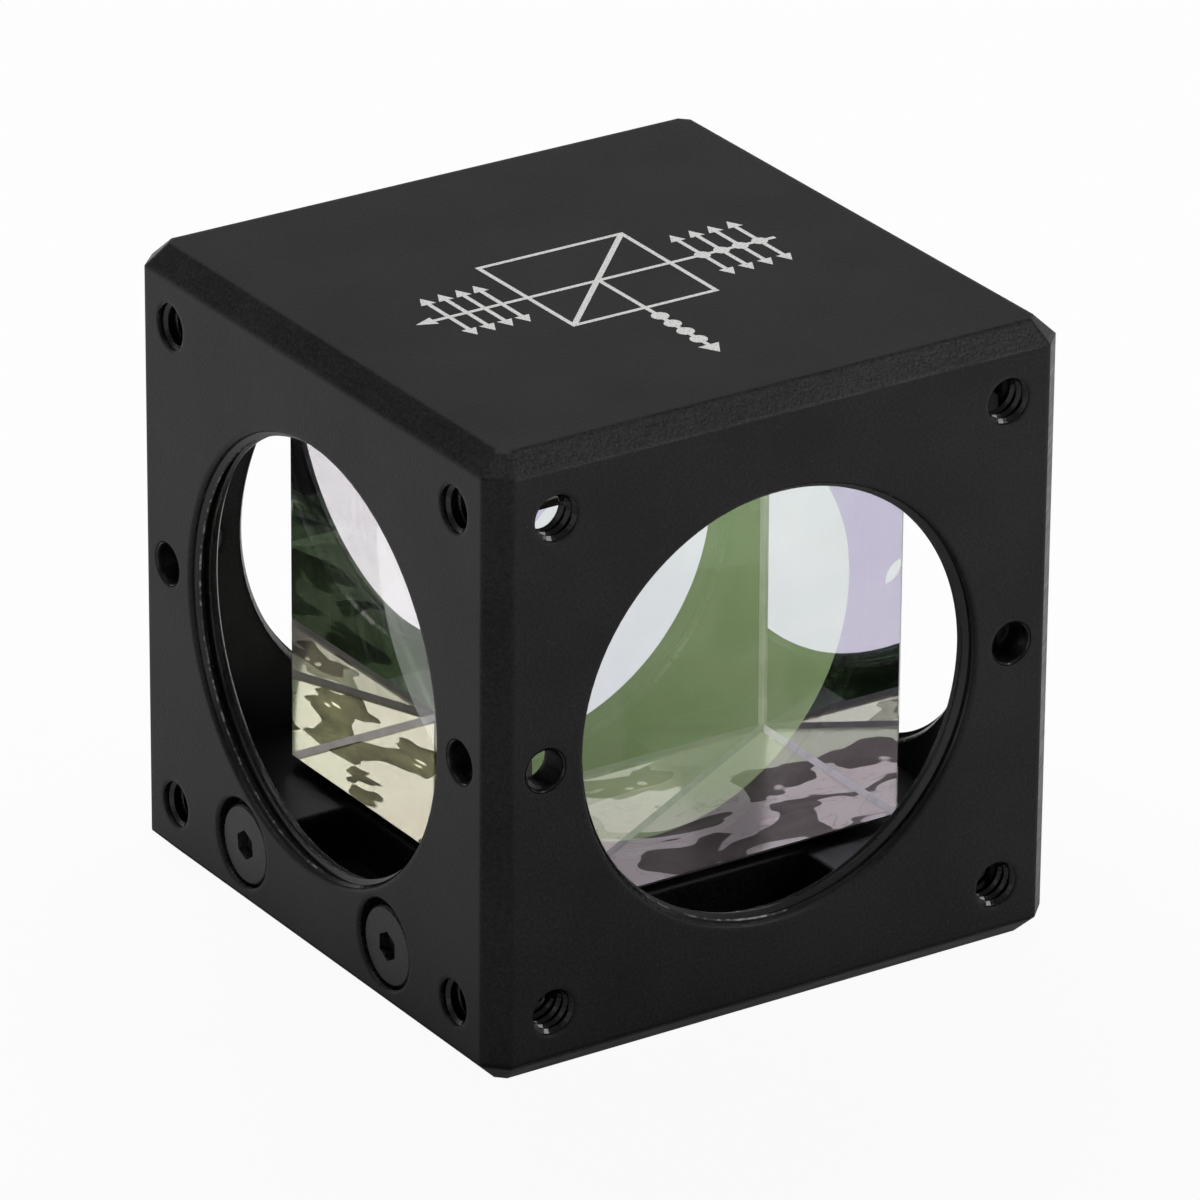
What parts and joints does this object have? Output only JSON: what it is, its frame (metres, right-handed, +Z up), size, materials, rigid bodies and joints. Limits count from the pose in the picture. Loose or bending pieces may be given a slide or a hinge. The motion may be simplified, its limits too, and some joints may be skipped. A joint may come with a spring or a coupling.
{
  "type": "polarizing beamsplitter cube",
  "caption": "Cemented glass beamsplitter cube inside a chamfered black metal cage cube with a threaded port in each side.",
  "frame": {"origin": "centre of the base's bottom face", "axes": "+Z up through the top face; the ports face -X, +X, -Y and +Y; the glass diagonal runs from the -X -Y corner to the +X +Y corner"},
  "size_m": [0.0382, 0.0382, 0.0381],
  "materials": {
    "black_anodised": "satin",
    "optical_glass": "gloss",
    "clear_adhesive": "gloss",
    "black_steel": "satin"
  },
  "bodies": {
    "root": {"housing": "black_anodised", "base_platform": "black_anodised", "coated_prism": "optical_glass", "plain_prism": "optical_glass", "adhesive": "clear_adhesive", "screw_left_front": "black_steel", "screw_left_rear": "black_steel", "screw_right_front": "black_steel", "screw_right_rear": "black_steel"}
  },
  "joints": []
}
